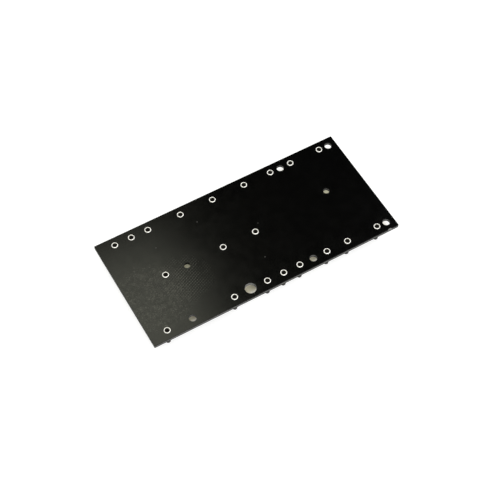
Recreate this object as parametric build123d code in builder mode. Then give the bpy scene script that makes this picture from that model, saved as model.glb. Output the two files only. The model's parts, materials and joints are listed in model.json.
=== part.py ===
from build123d import *

import os

# Turret board, in millimetres. It lies as on a bench: the heads of its turrets stand on the surface at
# z = 0, and the face with the swaged ends looks up. x runs along the board and y towards its back row.

# Layout, in grid steps along and across the board from the first grid point. That point lies one
# margin in from the left end and from the front edge, and the far ends lie one margin past the last.
grid_pitch = 10.0
edge_margin = 5.0
row_lines = {"front": 0, "middle": 3, "back": 6}
turret_columns = {
    "front": [0.5, 4.5, 6.5, 7.5, 8.5, 10.2, 11.5, 13.4],
    "middle": [2, 5.5, 7.5],
    "back": [0.5, 1.5, 2.5, 4.5, 6.5, 8.5, 10.2, 11.5, 13.4],
}
wire_hole_columns = {
    "front": [2, 9.35, 14],
    "back": [10.85, 14],
}
cable_hole_places = [(5.5, 0.05)]
screw_hole_places = [(3.28, 2.97), (12.27, 3.39)]

# Board
board_thickness = 2.0
corner_radius = 0.4
wire_hole_diameter = 4.1
cable_hole_diameter = 6.2
screw_hole_diameter = 3.5

# Turret: a turned spool below the board, and a hollow shank that is swaged over the board's top face.
# The widths of its head, flange and lip are how far each stands out from the waist or the shank.
turret_height = 9.0
head_height = 2.4
head_width = 0.35
waist_diameter = 2.1
flange_height = 1.0
flange_width = 0.6
flange_floor = 0.4
shank_diameter = 2.8
shank_wall = 0.3
lip_width = 0.55
lip_height = 0.4

# Worked out
last_column = max(max(columns) for columns in wire_hole_columns.values())
last_line = max(row_lines.values())
board_length = 2 * edge_margin + last_column * grid_pitch
board_width = 2 * edge_margin + last_line * grid_pitch
board_bottom = turret_height
board_top = board_bottom + board_thickness
flange_bottom = board_bottom - flange_height


# The point of the board at a grid place, with the origin at the board's middle
def place(column, line):
    x = edge_margin + column * grid_pitch - board_length / 2
    y = edge_margin + line * grid_pitch - board_width / 2
    return (x, y)


# The points of a pattern that is given as columns in named rows
def row_places(columns_by_row):
    return [
        place(column, row_lines[row])
        for row, columns in columns_by_row.items()
        for column in columns
    ]


drilled = [
    (shank_diameter, row_places(turret_columns)),
    (wire_hole_diameter, row_places(wire_hole_columns)),
    (cable_hole_diameter, [place(*hole) for hole in cable_hole_places]),
    (screw_hole_diameter, [place(*hole) for hole in screw_hole_places]),
]

os.makedirs("parts", exist_ok=True)

# The board: one sheet, cut to size and drilled through
with BuildPart() as board:
    with BuildSketch(Plane.XY.offset(board_bottom)):
        RectangleRounded(board_length, board_width, corner_radius)
        for diameter, points in drilled:
            with Locations(*points):
                Circle(diameter / 2, mode=Mode.SUBTRACT)
    extrude(amount=board_thickness)
board.part.label = "board"
export_step(board.part, "parts/board.step")


# One turret, turned about its own axis: head, waist, flange under the board, shank through it and the
# swaged lip over it. The bore opens at the lip and ends inside the flange.
def turned_turret(x, y):
    waist = waist_diameter / 2
    head = waist + head_width
    shank = shank_diameter / 2
    flange = shank + flange_width
    lip = shank + lip_width
    bore = shank - shank_wall
    crest = board_top + lip_height
    bore_floor = flange_bottom + flange_floor
    section = Plane(origin=(x, y, 0), x_dir=(1, 0, 0), z_dir=(0, -1, 0))
    with BuildPart() as turret:
        with BuildSketch(section):
            with BuildLine():
                Polyline(
                    (0, 0),
                    (head, 0),
                    (head, head_height),
                    (waist, head_height),
                    (waist, flange_bottom),
                    (flange, flange_bottom),
                    (flange, board_bottom),
                    (shank, board_bottom),
                    (shank, board_top),
                    (lip, board_top),
                    (lip, crest),
                    (bore, crest),
                    (bore, bore_floor),
                    (0, bore_floor),
                    close=True,
                )
            make_face()
        revolve(axis=Axis((x, y, 0), (0, 0, 1)))
    return turret


# The turrets of each row, numbered from the left end
for row, columns in turret_columns.items():
    for number, column in enumerate(columns, start=1):
        x, y = place(column, row_lines[row])
        turret = turned_turret(x, y)
        turret.part.label = f"turret_{row}_{number}"
        export_step(turret.part, f"parts/{turret.part.label}.step")
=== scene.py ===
import json
import math
import random

import bmesh
import bpy
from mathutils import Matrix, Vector, noise


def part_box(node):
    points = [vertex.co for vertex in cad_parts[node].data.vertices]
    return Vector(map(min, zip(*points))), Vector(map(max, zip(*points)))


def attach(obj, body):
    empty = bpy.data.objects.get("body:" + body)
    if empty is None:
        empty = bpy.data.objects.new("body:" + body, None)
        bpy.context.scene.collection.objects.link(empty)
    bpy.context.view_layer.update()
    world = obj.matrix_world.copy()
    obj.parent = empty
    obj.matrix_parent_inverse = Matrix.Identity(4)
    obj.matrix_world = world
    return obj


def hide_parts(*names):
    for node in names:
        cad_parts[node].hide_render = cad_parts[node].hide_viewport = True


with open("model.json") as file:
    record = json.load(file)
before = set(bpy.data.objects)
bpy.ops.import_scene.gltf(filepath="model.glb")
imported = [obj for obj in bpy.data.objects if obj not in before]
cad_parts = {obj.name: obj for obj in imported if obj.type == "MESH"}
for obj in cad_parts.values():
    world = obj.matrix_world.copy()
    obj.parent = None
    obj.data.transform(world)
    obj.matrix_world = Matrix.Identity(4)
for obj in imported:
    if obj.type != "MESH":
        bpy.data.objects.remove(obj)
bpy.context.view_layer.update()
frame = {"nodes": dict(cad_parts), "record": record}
mm = 0.001
print("frame loaded:", len(frame["nodes"]), "nodes")


# A socket of a node tree, so that shader maths reads as sums
class Wire:
    def __init__(self, tree, socket):
        self.tree = tree
        self.socket = socket

    def maths(self, operation, *values):
        return self.tree.add("ShaderNodeMath", {"operation": operation}, dict(enumerate(values)))

    def __add__(self, other):
        return self.maths("ADD", self, other)

    def __radd__(self, other):
        return self.maths("ADD", other, self)

    def __sub__(self, other):
        return self.maths("SUBTRACT", self, other)

    def __rsub__(self, other):
        return self.maths("SUBTRACT", other, self)

    def __mul__(self, other):
        return self.maths("MULTIPLY", self, other)

    def __rmul__(self, other):
        return self.maths("MULTIPLY", other, self)

    def __truediv__(self, other):
        return self.maths("DIVIDE", self, other)

    def __rtruediv__(self, other):
        return self.maths("DIVIDE", other, self)

    def __abs__(self):
        return self.maths("ABSOLUTE", self)

    def sine(self):
        return self.maths("SINE", self)

    def root(self):
        return self.maths("SQRT", self)


# Where a Mix node that is set to colours takes its amount and its two colours, and gives its result
mixSockets = {"amount": 0, "first": 6, "second": 7, "result": 2}


# A node tree that is emptied and then filled one node at a time
class Tree:
    def __init__(self, owner):
        owner.use_nodes = True
        self.nodes = owner.node_tree.nodes
        self.links = owner.node_tree.links
        self.nodes.clear()

    # One node: its type, its settings, which are set first, and the values or links of its sockets
    def add(self, kind, settings=None, sockets=None, out=0):
        node = self.nodes.new(kind)
        for name, value in (settings or {}).items():
            setattr(node, name, value)
        for name, value in (sockets or {}).items():
            if isinstance(value, Wire):
                self.links.new(value.socket, node.inputs[name])
            else:
                node.inputs[name].default_value = value
        return Wire(self, node.outputs[out]) if node.outputs else node

    def blend(self, amount, first, second):
        sockets = {
            mixSockets["amount"]: amount,
            mixSockets["first"]: paint(first),
            mixSockets["second"]: paint(second),
        }
        return self.add("ShaderNodeMix", {"data_type": "RGBA"}, sockets, out=mixSockets["result"])

    # 0 below low and 1 above high, or the other way round where low is the higher
    def smooth(self, value, low, high):
        return self.add("ShaderNodeMapRange", {"interpolation_type": "SMOOTHSTEP"},
                        {"Value": value, "From Min": low, "From Max": high})

    def place(self):
        return self.add("ShaderNodeTexCoord", out="Object")

    def split(self, vector):
        parts = self.add("ShaderNodeSeparateXYZ", sockets={0: vector})
        return [Wire(self, socket) for socket in parts.socket.node.outputs]

    # The parts of a place along x, y and z, in millimetres
    def measures(self, place):
        return [part * (1 / mm) for part in self.split(place)]

    def join(self, x, y, z):
        return self.add("ShaderNodeCombineXYZ", sockets={"X": x, "Y": y, "Z": z})

    def grain(self, vector, scale, detail=2.0, roughness=0.5):
        return self.add("ShaderNodeTexNoise", sockets={
            "Vector": vector, "Scale": scale, "Detail": detail, "Roughness": roughness,
        })

    # Grain that fades in between two of its levels
    def patches(self, vector, scale, detail, roughness, low, high):
        return self.smooth(self.grain(vector, scale, detail, roughness), low, high)

    # Relief from heights in millimetres
    def relief(self, height):
        return self.add("ShaderNodeBump", sockets={
            "Strength": 1.0, "Distance": mm, "Height": height,
        })

    # 1 for the rays that see a surface or the room, 0 for those that only light it
    def rays(self):
        path = self.add("ShaderNodeLightPath").socket.node
        kinds = ("Is Camera Ray", "Is Glossy Ray", "Is Transmission Ray")
        camera, glossy, transmitted = [Wire(self, path.outputs[kind]) for kind in kinds]
        return camera.maths("MAXIMUM", camera, glossy.maths("MAXIMUM", glossy, transmitted))

    def finish(self, surface):
        self.add("ShaderNodeOutputMaterial", sockets={"Surface": surface})


def paint(value):
    return value if isinstance(value, Wire) else (*value, 1)


def newMaterial(name):
    material = bpy.data.materials.new(name)
    return material, Tree(material)


def newObject(name, data):
    made = bpy.data.objects.new(name, data)
    bpy.context.scene.collection.objects.link(made)
    return made


# What is read from the frame: the sheet's box, the clear holes and where each turret stands
boardLow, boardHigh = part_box("board")
turretNames = sorted(name for name in frame["nodes"] if name.startswith("turret_"))
turretSpots = {}
for name in turretNames:
    low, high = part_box(name)
    turretSpots[name] = ((low.x + high.x) / 2, (low.y + high.y) / 2)
clearHoles = [
    (mount["name"], mount["pos_m"][0], mount["pos_m"][1], mount["dims"]["r_mm"] * mm)
    for mount in frame["record"]["mounts"]
    if mount["kind"] == "bore"
]


# The sheet: black glass-epoxy, sawn to size and drilled. Its rims are softened, its sawn edge
# wanders a little, and its front edge has one nick.
sheet = {
    "cornerRadius": 0.4 * mm,
    "cornerStep": 15,               # degrees between the points of a corner
    "stepAlong": 1.0 * mm,          # spacing of the points along a side
    "rimRound": 0.12 * mm,          # rounding along the top of the outline
    "drilledRimRound": 0.06 * mm,   # around each hole
    "lowRimRound": 0.05 * mm,       # and along every rim of the underside
    # a rounding's points, inwards and down, as shares of its size
    "roundPoints": [(1, 0), (0.5, 0.13), (0.13, 0.5), (0, 1)],
    "sawWobble": 0.035 * mm,        # how far the sawn edge wanders inwards
    "wobbleLength": 2.3 * mm,
    "chipDepth": 0.10 * mm,         # small chips along its top
    "chipLength": 1.1 * mm,
    "chipLevel": 0.45,              # the higher, the fewer
    "chipSlice": 7 * mm,            # keeps the chips apart from the wander
    "chipDrop": 0.8,                # how far down they and the nick go, as a share of how far in
    "nickSpot": 69.3 * mm,          # along the front edge
    "nickHalfLength": 1.3 * mm,
    "nickDepth": 0.42 * mm,
    "frontBand": 1.0 * mm,          # points this near the front edge belong to it
    "holeSides": 64,
    "turretHole": 1.4 * mm,         # radius
    "turretHoleSides": 48,
    "outlineWall": 1,               # which finish the cut faces take: 1 is the sawn cloth, 2 a paler copy, painted light, 3 a near-black wall, painted shade
    "turretWall": 3,                # 2 its paler kind and 3 the smeared wall
    "walls": {"cable_hole": 2, "screw_hole_1": 3},      # clear holes that don't take the first
    "normalWeight": 100,            # how far the larger faces prevail in the shading of a shared edge
}


# Points along the outline, each with the way out of the sheet there
def outlinePoints(low, high, radius, step):
    points = []
    corners = [(high.x - radius, high.y - radius, 0), (low.x + radius, high.y - radius, 90),
               (low.x + radius, low.y + radius, 180), (high.x - radius, low.y + radius, 270)]
    for number, (x, y, start) in enumerate(corners):
        for turn in range(0, 91, sheet["cornerStep"]):
            angle = math.radians(start + turn)
            way = Vector((math.cos(angle), math.sin(angle)))
            points.append((Vector((x, y)) + way * radius, way))
        nextX, nextY, _ = corners[(number + 1) % 4]
        angle = math.radians(start + 90)
        way = Vector((math.cos(angle), math.sin(angle)))
        first = Vector((x, y)) + way * radius
        last = Vector((nextX, nextY)) + way * radius
        pieces = round((last - first).length / step)
        points += [(first.lerp(last, k / pieces), way) for k in range(1, pieces)]
    return points


# The same around a hole
def holePoints(x, y, radius, sides):
    angles = [k * math.tau / sides for k in range(sides)]
    ways = [Vector((math.cos(angle), math.sin(angle))) for angle in angles]
    return [(Vector((x, y)) + way * radius, -way) for way in ways]


# How far the sawn edge gives way at a point of the outline, and how much more its top rim has lost
def rimLoss(point):
    level = noise.noise(Vector((point.x, point.y, 0)) / sheet["wobbleLength"])
    wander = sheet["sawWobble"] * (0.5 + 0.5 * level)
    level = noise.noise(Vector((point.x, point.y, sheet["chipSlice"])) / sheet["chipLength"])
    chips = sheet["chipDepth"] * max(0, level - sheet["chipLevel"])
    onFront = point.y < boardLow.y + sheet["frontBand"]
    along = abs(point.x - sheet["nickSpot"]) / sheet["nickHalfLength"]
    nick = sheet["nickDepth"] * max(0, 1 - along ** 2) if onFront else 0
    return wander, chips + nick


# Every loop the sheet is cut along: its points, whether it was sawn, and the finish of its wall
def sheetLoops():
    outline = outlinePoints(boardLow, boardHigh, sheet["cornerRadius"], sheet["stepAlong"])
    loops = [(outline, True, sheet["outlineWall"])]
    for name, x, y, radius in clearHoles:
        wall = sheet["walls"].get(name, sheet["outlineWall"])
        loops.append((holePoints(x, y, radius, sheet["holeSides"]), False, wall))
    for x, y in turretSpots.values():
        points = holePoints(x, y, sheet["turretHole"], sheet["turretHoleSides"])
        loops.append((points, False, sheet["turretWall"]))
    return loops


def buildSheet():
    shape = bmesh.new()
    top, bottom = boardHigh.z, boardLow.z
    softBelow = sheet["lowRimRound"]
    steps = len(sheet["roundPoints"])
    topEdges, bottomEdges = [], []
    for points, sawn, wall in sheetLoops():
        soft = sheet["rimRound"] if sawn else sheet["drilledRimRound"]
        rings = [[] for _ in range(2 * steps)]
        for point, way in points:
            wander, loss = rimLoss(point) if sawn else (0, 0)
            base = point - way * wander
            for ring, (inward, drop) in enumerate(sheet["roundPoints"]):
                flat = base - way * ((soft + loss) * inward)
                height = top - drop * (soft + loss * sheet["chipDrop"])
                rings[ring].append(shape.verts.new((flat.x, flat.y, height)))
                flat = base - way * (softBelow * inward)
                height = bottom + drop * softBelow
                rings[-1 - ring].append(shape.verts.new((flat.x, flat.y, height)))
        count = len(points)
        for above, below in zip(rings, rings[1:]):
            for k in range(count):
                following = (k + 1) % count
                face = shape.faces.new((above[k], above[following], below[following], below[k]))
                face.material_index = wall
        for ring, edges in ((rings[0], topEdges), (rings[-1], bottomEdges)):
            for k in range(count):
                edges.append(shape.edges.get((ring[k], ring[(k + 1) % count])))
    for edges in (topEdges, bottomEdges):
        bmesh.ops.triangle_fill(shape, edges=edges, use_beauty=True, use_dissolve=False)
    bmesh.ops.recalc_face_normals(shape, faces=shape.faces[:])
    for face in shape.faces:
        face.smooth = face.material_index > 0       # the two flat faces shade flat up to each rim
    mesh = bpy.data.meshes.new("boardSheet")
    shape.to_mesh(mesh)
    shape.free()
    made = newObject("boardSheet", mesh)
    weighted = made.modifiers.new("flatFaces", "WEIGHTED_NORMAL")
    weighted.weight = sheet["normalWeight"]
    weighted.keep_sharp = True
    return made


board = buildSheet()
print("sheet:", len(board.data.polygons), "faces")


# Finish of the sheet's two faces: black resin over a woven glass cloth. Its threads are painted
# lighter here and there in one patch, partly the real weave and partly a painted sheen where the key
# light's reflection falls off. A noise is given as its scale in lengths a metre, its detail, its
# roughness and the two levels between which it fades in.
cloth = {
    "black": (0.0009, 0.0009, 0.0009),
    "threadAndSheen": (0.045, 0.045, 0.039),
    "ribWaves": (0.320, -0.720),    # waves a mm, along and across, of the slanting ribs
    "crossWaves": (0.770, 0.150),   # and of those that cross them
    "crossShare": 0.4,
    "ribLevels": (0.25, 1.35),      # from where on a rib's thread shows, and where it shows fully
    "ribSpot": (-41.0, -7.0),       # mm, middle of the patch of painted sheen, where the key light's reflection falls off
    "ribReach": (23.0, 2.0),        # mm from there, where ribs begin to show and show fully
    "ribPatches": (260.0, 2.0, 0.5, 0.22, 0.56),
    "ribRelief": 0.0012,            # mm
    "swayScale": 330.0,
    "sway": 3.2,                    # how far noise moves the waves along, in radians
    "slubStretch": (0.12, 1.3),     # noise lengths a mm, along a thread and across it
    "weftSlice": 5.0,               # keeps the weft's slubs apart from the warp's
    "slubRelief": 0.0030,
    "rippleScale": 55.0,
    "rippleRelief": 0.008,
    "gloss": 0.14,                  # roughness of the resin
    "glossSpread": 0.035,
    "smears": (210.0, 4.0, 0.6, 0.30, 0.75),
    "haze": (0.043, 0.043, 0.036),
    "hazeSpot": (-63.0, -9.0),      # mm, where the top face has been handled most
    "hazeReach": (27.0, 12.0),      # mm from there, where the haze begins and is full
    "clouds": (460.0, 5.0, 0.7, 0.42, 0.66),
    "cloudShare": 0.55,
    "flecks": (1300.0, 2.0, 0.5, 0.58, 0.70),
    "smudges": (140.0, 2.0, 0.5, 0.34, 0.58),
    "smudgeShare": 0.55,
    "hazeRoughness": 0.04,
    "dust": (0.047, 0.046, 0.043),
    "specks": [                     # x, y and radius, in mm
        (-46.5, 17.6, 0.38), (-19.3, 21.3, 0.40), (1.4, -16.5, 0.40), (9.1, 4.2, 0.32),
    ],
    "speckHeart": 0.4,              # the part of a speck's radius that it covers fully
    "dustRoughness": 0.4,
}


# How far a point is from a spot on the faces
def reach(x, y, spot):
    dx, dy = x - spot[0], y - spot[1]
    return (dx * dx + dy * dy).root()


# Waves over the faces, from their counts a mm along x and y, moved along by a sway
def wave(x, y, counts, sway):
    return (x * (counts[0] * math.tau) + y * (counts[1] * math.tau) + sway).sine()


def resinMaterial():
    material, tree = newMaterial("blackResin")
    place = tree.place()
    x, y, _ = tree.measures(place)

    # the cloth, as ribs and slubs
    # painted sheen: the threads show lighter only in a patch where the key light's reflection falls
    # off
    sheenPatch = tree.smooth(reach(x, y, cloth["ribSpot"]), *cloth["ribReach"])
    sheenPatch = sheenPatch * tree.patches(place, *cloth["ribPatches"])
    sway = tree.grain(place, cloth["swayScale"], detail=1.0) * cloth["sway"]
    ribs = wave(x, y, cloth["ribWaves"], sway)
    ribs = ribs + wave(x, y, cloth["crossWaves"], sway) * cloth["crossShare"]
    threadsAndSheen = tree.smooth(ribs, *cloth["ribLevels"]) * sheenPatch
    slow, fast = cloth["slubStretch"]
    warp = tree.grain(tree.join(x * slow, y * fast, 0.0), 1.0)
    weft = tree.grain(tree.join(x * fast, y * slow, cloth["weftSlice"]), 1.0)
    ripple = tree.grain(place, cloth["rippleScale"], detail=1.0)
    height = ribs * sheenPatch * cloth["ribRelief"]
    height = height + (warp + weft) * cloth["slubRelief"] + ripple * cloth["rippleRelief"]

    # what lies on it
    smear = tree.patches(place, *cloth["smears"])
    handled = tree.smooth(reach(x, y, cloth["hazeSpot"]), *cloth["hazeReach"])
    clouds = tree.patches(place, *cloth["clouds"])
    flecks = tree.patches(place, *cloth["flecks"])
    smudges = tree.patches(place, *cloth["smudges"])
    smudges = smudges * cloth["smudgeShare"] + (1 - cloth["smudgeShare"])
    haze = (clouds * cloth["cloudShare"] + flecks) * handled * smudges
    dust = 0.0
    for speckX, speckY, radius in cloth["specks"]:
        away = reach(x, y, (speckX, speckY))
        dust = tree.smooth(away, radius, radius * cloth["speckHeart"]) + dust

    shade = tree.blend(threadsAndSheen, cloth["black"], cloth["threadAndSheen"])
    shade = tree.blend(haze, shade, cloth["haze"])
    roughness = cloth["gloss"] + smear * cloth["glossSpread"]
    roughness = roughness + haze * cloth["hazeRoughness"] + dust * cloth["dustRoughness"]
    tree.finish(tree.add("ShaderNodeBsdfPrincipled", sockets={
        "Base Color": tree.blend(dust, shade, cloth["dust"]),
        "Roughness": roughness,
        "Normal": tree.relief(height),
    }))
    return material


# Finish of the cut faces. The layers of cloth show on the sawn outline and in most clear holes,
# and paler, as painted light, in the cable hole. The walls of the left screw hole and of the
# turrets' own holes are painted near black, as painted shade.
cut = {
    "resin": (0.012, 0.012, 0.012),
    "fibre": (0.034, 0.034, 0.032),
    "middle": (0.27, 0.27, 0.26),   # the paler layers halfway through the sheet
    "layers": 9,
    "layerDrift": 2.4,              # how unevenly they lie, in radians
    "driftScale": 260.0,
    "sawStretch": (2.2, 9.0),       # noise lengths a mm, along the edge and down it
    "fibreLevels": (0.25, 0.75),
    "middleLevel": 0.56,            # height of the paler layers, as a share of the thickness
    "middleHalf": 0.26,             # mm
    "middleFade": (0.12, -0.10),    # mm past that half, where they begin and show fully
    "middleDrift": 0.25,
    "middleShare": (0.55, 0.5),     # how strongly they show, and how much the saw marks add
    "nick": (0.26, 0.26, 0.25),     # the torn fibres in the nick
    "nickCore": 0.7,                # the part of its length that shows fully
    "nickBand": (1.0, 0.9),         # mm from the front edge
    "nickLevels": (0.62, 0.80),     # shares of the thickness
    "nickShare": (0.6, 0.6),
    "paintedWallLight": (0.30, 0.30, 0.29),    # painted light: what the cable hole's wall is paled towards
    "paintedWallLightShare": 0.6,
    "layerRelief": 0.012,           # mm
    "sawRelief": 0.03,
    "roughness": 0.62,
    "specular": 0.15,
    # painted shade: near black, darker than the resin itself
    "drilled": (0.006, 0.006, 0.006),
    "drilledRoughness": 0.5,
    "drillRings": 9000.0,           # noise lengths a metre
    "drillRelief": 0.012,
}


def cutMaterial(name, pale):
    material, tree = newMaterial(name)
    place = tree.place()
    x, y, z = tree.measures(place)
    thick = (boardHigh.z - boardLow.z) / mm
    level = (z - boardLow.z / mm) / thick
    drift = tree.grain(place, cut["driftScale"]) - 0.5
    layers = (level * (cut["layers"] * math.tau) + drift * cut["layerDrift"]).sine() * 0.5 + 0.5
    along, down = cut["sawStretch"]
    saw = tree.grain(tree.join(x * along, y * along, z * down), 1.0, detail=3.0)
    shade = tree.blend(layers * tree.smooth(saw, *cut["fibreLevels"]), cut["resin"], cut["fibre"])

    # the paler layers halfway through
    off = abs(level - cut["middleLevel"]) * thick + drift * cut["middleDrift"]
    centre = tree.smooth(off, *[cut["middleHalf"] + fade for fade in cut["middleFade"]])
    share, marks = cut["middleShare"]
    shade = tree.blend(centre * (share + saw * marks), shade, cut["middle"])

    # the nick, and the paling of a whole wall
    half, front = sheet["nickHalfLength"] / mm, boardLow.y / mm
    torn = tree.smooth(abs(x - sheet["nickSpot"] / mm), half, half * cut["nickCore"])
    torn = torn * tree.smooth(y, *[front + band for band in cut["nickBand"]])
    torn = torn * tree.smooth(level, *cut["nickLevels"])
    share, marks = cut["nickShare"]
    shade = tree.blend(torn * (share + saw * marks), shade, cut["nick"])
    # painted light: the whole wall paled, for the cable hole
    shade = tree.blend(pale, shade, cut["paintedWallLight"])
    tree.finish(tree.add("ShaderNodeBsdfPrincipled", sockets={
        "Base Color": shade,
        "Roughness": cut["roughness"],
        "Specular IOR Level": cut["specular"],
        "Normal": tree.relief(layers * cut["layerRelief"] + saw * cut["sawRelief"]),
    }))
    return material


def drilledMaterial():
    material, tree = newMaterial("drilledWall")
    _, _, z = tree.split(tree.place())
    rings = tree.grain(tree.join(0.0, 0.0, z * cut["drillRings"]), 1.0, detail=3.0)
    tree.finish(tree.add("ShaderNodeBsdfPrincipled", sockets={
        "Base Color": paint(cut["drilled"]),
        "Roughness": cut["drilledRoughness"],
        "Specular IOR Level": cut["specular"],
        "Normal": tree.relief(rings * cut["drillRelief"]),
    }))
    return material


# In the order the sheet's faces count them: its two flat faces, then the three kinds of cut face
board.data.materials.append(resinMaterial())
board.data.materials.append(cutMaterial("sawnCloth", 0.0))
board.data.materials.append(cutMaterial("litBoredCloth", cut["paintedWallLightShare"]))
board.data.materials.append(drilledMaterial())
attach(board, "root")
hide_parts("board")
print("sheet finished")


# One turret: the solid's own sizes in mm, with its edges turned and its swaged end rolled over
turret = {
    "sides": 72,
    "head": (1.4, 2.4),             # radius and height
    "waist": 1.05,                  # radii
    "shank": 1.395,
    "bore": 1.1,
    "flange": (2.0, 8.0),           # radius and underside
    "seatGap": 0.004,               # from the flange's face to the sheet
    "boreFloor": 8.4,
    "boreHeights": (10.0, 9.2),     # points on the way down the bore
    "boreFoot": [(0.0, 0.35), (0.12, 0.12), (0.4, 0.0)],    # in from its wall, up from its floor
    "lipOut": 1.89,
    "lipCrest": (1.54, 11.4),
    "flareStart": 10.75,            # where the bore begins to open out
    "rollStep": 10,                 # degrees
    "headEdge": 0.05,               # roundings
    "shoulder": 0.10,
    "waistFillet": 0.20,
    "flangeEdge": 0.16,
    "seatEdge": 0.08,
    "roundSteps": 5,
    "rollWander": 0.045,            # unevenness of the rolled lip
    "wanderFrom": 0.3,              # how far below the sheet's top face it begins
    "wanderRise": 0.5,              # and over what height it grows
    "wanderWaves": 1.6,
    "boreShare": -0.6,              # how much of it the inside of the roll has, and the other way
    "boreSlack": 0.001,             # points further inside the bore's wall than this don't wander
    "lastPhase": 50,                # each turret's unevenness starts somewhere from 0 to this
    "sharpAngle": 40,               # degrees
    "seed": 41,
}


# A corner of a profile, rounded to a radius with a few points
def rounded(before, corner, after, radius):
    if radius <= 0:
        return [corner]
    before, corner, after = Vector(before), Vector(corner), Vector(after)
    first, last = (before - corner).normalized(), (after - corner).normalized()
    trim = radius / math.tan(first.angle(last) / 2)
    start, end = corner + first * trim, corner + last * trim
    points = []
    for k in range(turret["roundSteps"] + 1):
        share = k / turret["roundSteps"]
        point = start * (1 - share) ** 2 + corner * (2 * share * (1 - share)) + end * share ** 2
        points.append(tuple(point))
    return points


# Radius and height along the turret's skin, from the middle of its head's end to the middle of its
# bore's floor
def turretProfile():
    headRadius, headTop = turret["head"]
    flangeRadius, flangeBottom = turret["flange"]
    waist, shank, bore = turret["waist"], turret["shank"], turret["bore"]
    crestRadius, crestTop = turret["lipCrest"]
    top, seat = boardHigh.z / mm, boardLow.z / mm - turret["seatGap"]
    corners = [                         # each with its rounding
        ((0, 0), 0),
        ((headRadius, 0), turret["headEdge"]),
        ((headRadius, headTop), turret["shoulder"]),
        ((waist, headTop), turret["waistFillet"]),
        ((waist, flangeBottom), turret["waistFillet"]),
        ((flangeRadius, flangeBottom), turret["flangeEdge"]),
        ((flangeRadius, seat), turret["seatEdge"]),
        ((shank, seat), 0),
        ((shank, top), 0),
        ((turret["lipOut"], top), 0),
    ]
    points = [(0, 0)]
    for before, (corner, radius), after in zip(corners, corners[1:], corners[2:]):
        points += rounded(before[0], corner, after[0], radius)
    points.append(corners[-1][0])
    step = turret["rollStep"]
    for turn in range(step, 91, step):              # the outside of the roll
        angle = math.radians(turn)
        points.append((crestRadius + (turret["lipOut"] - crestRadius) * math.cos(angle),
                       top + (crestTop - top) * math.sin(angle)))
    for turn in range(90 - step, -1, -step):        # and its inside, which opens the bore
        angle = math.radians(turn)
        points.append((crestRadius - (crestRadius - bore) * math.cos(angle),
                       turret["flareStart"] + (crestTop - turret["flareStart"]) * math.sin(angle)))
    points += [(bore, height) for height in turret["boreHeights"]]
    points += [(bore - inward, turret["boreFloor"] + up) for inward, up in turret["boreFoot"]]
    points.append((0, turret["boreFloor"]))
    return points


# How far the rolled lip stands in at a point of the profile and an angle around it
def lipWander(radius, height, angle, phase):
    above = height - boardHigh.z / mm + turret["wanderFrom"]
    if above <= 0 or radius <= turret["bore"] - turret["boreSlack"]:
        return 0
    rise = min(1, above / turret["wanderRise"])
    waves = turret["wanderWaves"]
    uneven = noise.noise(Vector((math.cos(angle) * waves, math.sin(angle) * waves, phase)))
    share = 1 if radius > turret["lipCrest"][0] else turret["boreShare"]
    return turret["rollWander"] * rise * (0.5 + uneven) * share


def buildTurret(name, spot, profile, dice):
    shape = bmesh.new()
    sides = turret["sides"]
    phase = dice.uniform(0, turret["lastPhase"])
    rings = []
    for radius, height in profile:
        if radius == 0:
            rings.append([shape.verts.new((0, 0, height * mm))])
            continue
        ring = []
        for k in range(sides):
            angle = k * math.tau / sides
            out = radius - lipWander(radius, height, angle, phase)
            across, along = out * math.cos(angle) * mm, out * math.sin(angle) * mm
            ring.append(shape.verts.new((across, along, height * mm)))
        rings.append(ring)
    for below, above in zip(rings, rings[1:]):
        for k in range(sides):
            following = (k + 1) % sides
            if len(below) == 1:
                shape.faces.new((below[0], above[following], above[k]))
            elif len(above) == 1:
                shape.faces.new((below[k], below[following], above[0]))
            else:
                shape.faces.new((below[k], below[following], above[following], above[k]))
    bmesh.ops.recalc_face_normals(shape, faces=shape.faces[:])
    for face in shape.faces:
        face.smooth = True
    mesh = bpy.data.meshes.new(name)
    shape.to_mesh(mesh)
    shape.free()
    mesh.set_sharp_from_angle(angle=math.radians(turret["sharpAngle"]))
    made = newObject(name, mesh)
    made.location = (spot[0], spot[1], 0)
    made.rotation_euler.z = dice.uniform(0, math.tau)
    return made


# Finish of the turrets: turned brass with a dull silver plating, darkened down the bore by tarnish
# and painted shade, with painted shade on the heads and at each lip's foot. Heights and radii are in
# mm.
plating = {
    "silver": (0.975, 0.96, 0.92),
    "worn": (0.90, 0.88, 0.81),
    "wornLevels": (0.45, 0.75),
    "wornShare": 0.7,
    "cloudScale": 900.0,
    "metal": 0.78,
    "roughness": 0.38,
    "roughSpread": 0.12,
    "headShade": (0.045, 0.043, 0.039),  # painted shade on the heads, which show dark in the photograph
    "headShadeTop": (4.6, 2.2),          # heights between which silver gives way to that painted shade
    # dark colour of the bore's tarnish and of the painted shade at each lip's foot
    "tarnishAndShade": (0.016, 0.013, 0.009),
    "creaseShade": (1.73, 1.84),           # radii between which the lip turns dark towards its foot: painted shade in the crease
    "creaseShadeHeights": (10.8, 10.9),    # above which it does
    "creaseShadeShare": 0.8,
    "boreEdge": (1.48, 1.38),       # radii between which the bore turns dark, as tarnish and painted shade
    "boreDark": (11.387, 11.29),    # and heights
    "boreEnd": (8.1, 8.3),          # below which nothing does
    "boreMetal": 0.5,               # how much less of a metal the tarnish is
    "boreRoughness": 0.3,           # and how much rougher
    "markWaves": 9.0,               # noise lengths a mm, of the turning marks
    "markRelief": 0.0022,
    "fineScale": 4200.0,
    "fineRelief": 0.0012,
}


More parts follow.
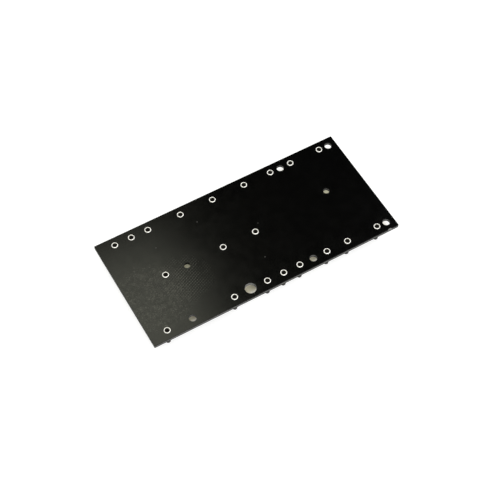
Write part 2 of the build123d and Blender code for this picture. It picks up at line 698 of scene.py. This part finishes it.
def platedMaterial():
    material, tree = newMaterial("silverPlating")
    place = tree.place()
    x, y, z = tree.measures(place)
    radius = (x * x + y * y).root()
    cloud = tree.grain(place, plating["cloudScale"], detail=3.0)
    fine = tree.grain(place, plating["fineScale"])
    waves = plating["markWaves"]
    marks = tree.grain(tree.join(radius * waves, z * waves, 0.0), 1.0)

    worn = tree.smooth(cloud, *plating["wornLevels"]) * plating["wornShare"]
    shade = tree.blend(worn, plating["silver"], plating["worn"])
    # painted shade: the heads, under the sheet, turn near black below these heights
    shade = tree.blend(tree.smooth(z + cloud, *plating["headShadeTop"]), shade, plating["headShade"])
    # painted shade in the crease where each rolled lip meets the sheet
    creaseShade = tree.smooth(radius, *plating["creaseShade"]) * tree.smooth(z, *plating["creaseShadeHeights"])
    shade = tree.blend(creaseShade * plating["creaseShadeShare"], shade, plating["tarnishAndShade"])
    # the bore darkens down its depth: tarnish, and painted shade in the recess
    deep = tree.smooth(radius, *plating["boreEdge"]) * tree.smooth(z, *plating["boreDark"])
    deep = deep * tree.smooth(z, *plating["boreEnd"])
    roughness = plating["roughness"] + cloud * plating["roughSpread"]
    roughness = roughness + deep * plating["boreRoughness"]
    tree.finish(tree.add("ShaderNodeBsdfPrincipled", sockets={
        "Base Color": tree.blend(deep, shade, plating["tarnishAndShade"]),
        "Metallic": plating["metal"] - deep * plating["boreMetal"],
        "Roughness": roughness,
        "Normal": tree.relief(marks * plating["markRelief"] + fine * plating["fineRelief"]),
    }))
    return material


plated = platedMaterial()
profile = turretProfile()
dice = random.Random(turret["seed"])
for name, spot in turretSpots.items():
    piece = buildTurret(name.replace("turret", "spool"), spot, profile, dice)
    piece.data.materials.append(plated)
    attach(piece, "root")
    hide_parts(name)
print("turrets:", len(turretSpots), "of about", len(profile) * turret["sides"], "points each")


# The floor is white card, exposed brightly to the camera as in the photograph. Under the sheet a
# painted shadow makes it glow less than outside, so that the sheet's deep shade shows through the
# holes.
# Lengths are in mm unless a note says otherwise.
studio = {
    "floorSize": 12.0,                  # metres
    "floorDrop": 0.02,                  # below the turrets' heads
    "card": (0.80, 0.80, 0.80),         # what it sends back as light
    "openSeen": (0.38, 0.38, 0.38),     # and how the camera and the metal see it outside the shade,
    "openGlow": (0.77, 0.77, 0.77),
    "shadowSeen": (0.96, 0.90, 0.68),    # and within the painted shadow, tinted warm
    # glow of the painted shadow under the sheet
    "shadowGlow": (0.105, 0.098, 0.074),
    "paintedMidLight": (0.22, 0.215, 0.155),    # painted light, raising the shadow's glow near the sheet's middle line
    "midReach": (26.0, 14.0),           # from that line, where this begins and where it is full
    "paintedLightLean": 0.009,                      # painted light: share by which the shadow's glow grows a mm to the right
    "shadeSpot": (2.2, 3.4),            # the painted shadow's middle, towards the back and the right
    "outlineFade": (-7.2, -1.2),        # past the sheet's outline moved there, from painted shadow to open
    "ambient": (0.30, 0.25),            # light from the horizon and from overhead
    "ambientTop": 0.8,                  # from this height of a direction on, it is as from overhead
    "horizon": (0.55, 0.20),            # heights of a direction, from dim ceiling to white
    "ceiling": 0.55,
    "flagWay": (0.33, 0.47, 0.81),      # a black flag hangs where the sheet's right half mirrors it
    "flagEdge": (0.866, 0.970),         # cosines at its soft outside and at its dark inside
}


def cardMaterial():
    material, tree = newMaterial("whiteCard")
    x, y, _ = tree.measures(tree.place())
    pastEnds = abs(x - studio["shadeSpot"][0]) - boardHigh.x / mm
    pastSides = abs(y - studio["shadeSpot"][1]) - boardHigh.y / mm
    # painted shadow: the card is darkened under the sheet, fading out past its outline
    outside = tree.smooth(pastEnds.maths("MAXIMUM", pastEnds, pastSides), *studio["outlineFade"])
    seen = tree.rays()
    shade = tree.blend(outside, studio["shadowSeen"], studio["openSeen"])
    shade = tree.blend(seen, studio["card"], shade)
    card = tree.add("ShaderNodeBsdfDiffuse", sockets={"Color": shade})
    # painted light within that shadow: brighter near the middle line and towards the right
    middle = tree.smooth(abs(y), *studio["midReach"])
    under = tree.blend(middle, studio["shadowGlow"], studio["paintedMidLight"])
    paintedLightLean = x * studio["paintedLightLean"] + 1
    paintedLightLean = tree.join(paintedLightLean, paintedLightLean, paintedLightLean)
    under = tree.add("ShaderNodeVectorMath", {"operation": "MULTIPLY"}, {0: under, 1: paintedLightLean})
    glow = tree.add("ShaderNodeEmission", sockets={
        "Color": tree.blend(outside, under, studio["openGlow"]), "Strength": seen,
    })
    tree.finish(tree.add("ShaderNodeAddShader", sockets={0: card, 1: glow}))
    return material


def buildFloor():
    half = studio["floorSize"] / 2
    corners = [(-half, -half, 0), (half, -half, 0), (half, half, 0), (-half, half, 0)]
    mesh = bpy.data.meshes.new("floorCard")
    mesh.from_pydata(corners, [], [(0, 1, 2, 3)])
    floor = newObject("floorCard", mesh)
    mesh.materials.append(cardMaterial())
    floor.location.z = -studio["floorDrop"] * mm


def buildRoom():
    world = bpy.data.worlds.new("studioRoom")
    bpy.context.scene.world = world
    tree = Tree(world)
    way = tree.add("ShaderNodeTexCoord", out="Generated")
    up = tree.split(way)[2]
    white = tree.smooth(up, *studio["horizon"])
    flagWay = Vector(studio["flagWay"]).normalized()
    near = tree.add("ShaderNodeVectorMath", {"operation": "DOT_PRODUCT"},
                    {0: way, 1: flagWay}, out="Value")
    flag = tree.smooth(near, *studio["flagEdge"])
    room = (white * (1 - studio["ceiling"]) + studio["ceiling"]) * (1 - flag)
    low, high = studio["ambient"]
    light = tree.smooth(up, 0.0, studio["ambientTop"]) * (high - low) + low
    seen = tree.add("ShaderNodeBackground", sockets={"Color": (1, 1, 1, 1), "Strength": room})
    lit = tree.add("ShaderNodeBackground", sockets={"Color": (1, 1, 1, 1), "Strength": light})
    both = tree.add("ShaderNodeMixShader", sockets={0: tree.rays(), 1: lit, 2: seen})
    tree.add("ShaderNodeOutputWorld", sockets={"Surface": both})


# Soft boxes, in metres: where each one's middle stands, where it points, its two sides, its
# radiance and its tint. All stand high, because a low one would be mirrored in the sheet when that
# is seen from its ends.
lamps = {
    "keyBox": {
        "spot": (-0.335, 0.16, 1.211), "aim": (-0.335, 0.16, 0), "sides": (1.2, 1.2),
        "radiance": 1.62, "tint": (0.985, 1.0, 0.82),
    },
    "frontBox": {
        "spot": (-0.17, -0.92, 1.36), "aim": (0, 0, 0), "sides": (0.9, 0.9),
        "radiance": 5.4, "tint": (1.0, 1.0, 1.0),
    },
    "rightBox": {
        "spot": (0.84, 0.0, 1.02), "aim": (0, 0, 0), "sides": (0.7, 0.7),
        "radiance": 4.2, "tint": (1.0, 1.0, 1.0),
    },
}


def buildLamps():
    for name, facts in lamps.items():
        light = bpy.data.lights.new(name, "AREA")
        light.shape = "RECTANGLE"
        light.size, light.size_y = facts["sides"]
        light.energy = facts["radiance"] * math.pi * light.size * light.size_y
        light.color = facts["tint"]
        lamp = newObject(name, light)
        lamp.location = facts["spot"]
        away = Vector(facts["spot"]) - Vector(facts["aim"])
        lamp.rotation_euler = away.to_track_quat("Z", "Y").to_euler()


# The camera stands where the photograph was taken from
lens = {
    "spot": (-0.18723, -0.32252, 0.58307),
    "turn": (32.446, -0.218, -30.023),      # degrees about x, y and z
    "length": 90.94,                        # mm
    "frameWidth": 36,
    "clip": (0.01, 50),                     # metres
}


def buildCamera():
    camera = newObject("camera", bpy.data.cameras.new("camera"))
    camera.data.sensor_width = lens["frameWidth"]
    camera.data.lens = lens["length"]
    camera.data.clip_start, camera.data.clip_end = lens["clip"]
    camera.location = lens["spot"]
    camera.rotation_euler = [math.radians(angle) for angle in lens["turn"]]
    bpy.context.scene.camera = camera


buildFloor()
buildRoom()
buildLamps()
buildCamera()
bpy.context.scene.view_settings.view_transform = "Standard"
print("studio ready")
